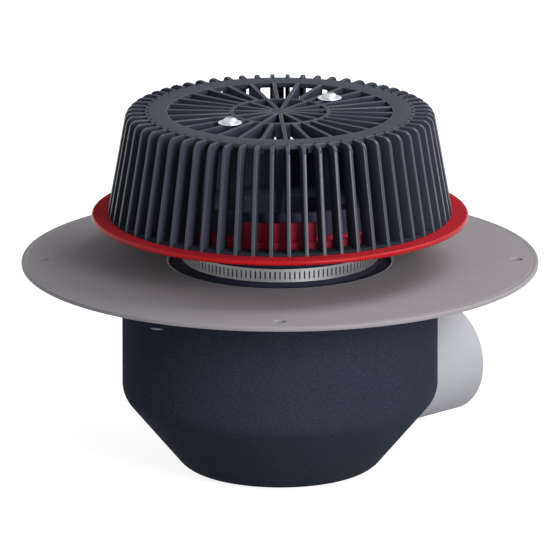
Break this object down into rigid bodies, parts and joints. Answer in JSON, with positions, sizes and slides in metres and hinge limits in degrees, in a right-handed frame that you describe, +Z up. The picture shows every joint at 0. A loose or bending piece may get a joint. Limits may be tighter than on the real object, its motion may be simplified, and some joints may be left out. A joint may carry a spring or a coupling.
{
  "type": "flat roof drain",
  "caption": "Flat roof drain: ribbed leaf guard on a red overflow ring and clamped neck, round membrane flange, foam-insulated bowl and a horizontal outlet spigot.",
  "frame": {"origin": "on the drain's axis, in the plane of the membrane flange's underside, which is the centre of its circle of fixing holes", "axes": "+Z up along the drain's axis, +X along the outlet towards its mouth"},
  "size_m": [0.35, 0.35, 0.2528],
  "materials": {
    "black_moulding": "satin",
    "black_neck": "satin",
    "red_moulding": "gloss",
    "stainless": "brushed",
    "brass": "plain",
    "sleeve_rubber": "matt",
    "grey_sheet": "satin",
    "light_grey_moulding": "satin",
    "dark_foam": "fine grain"
  },
  "bodies": {
    "root": {"leaf_guard": "black_moulding", "guard_washers": "stainless", "guard_screws": "stainless", "overflow_ring": "red_moulding", "overflow_neck": "black_neck", "thread_inserts": "brass", "neck_sleeve": "sleeve_rubber", "clamp_band": "stainless", "clamp_housing": "stainless", "clamp_screw": "stainless", "membrane_flange": "grey_sheet", "drain_bowl": "light_grey_moulding", "insulating_shell": "dark_foam"}
  },
  "joints": []
}
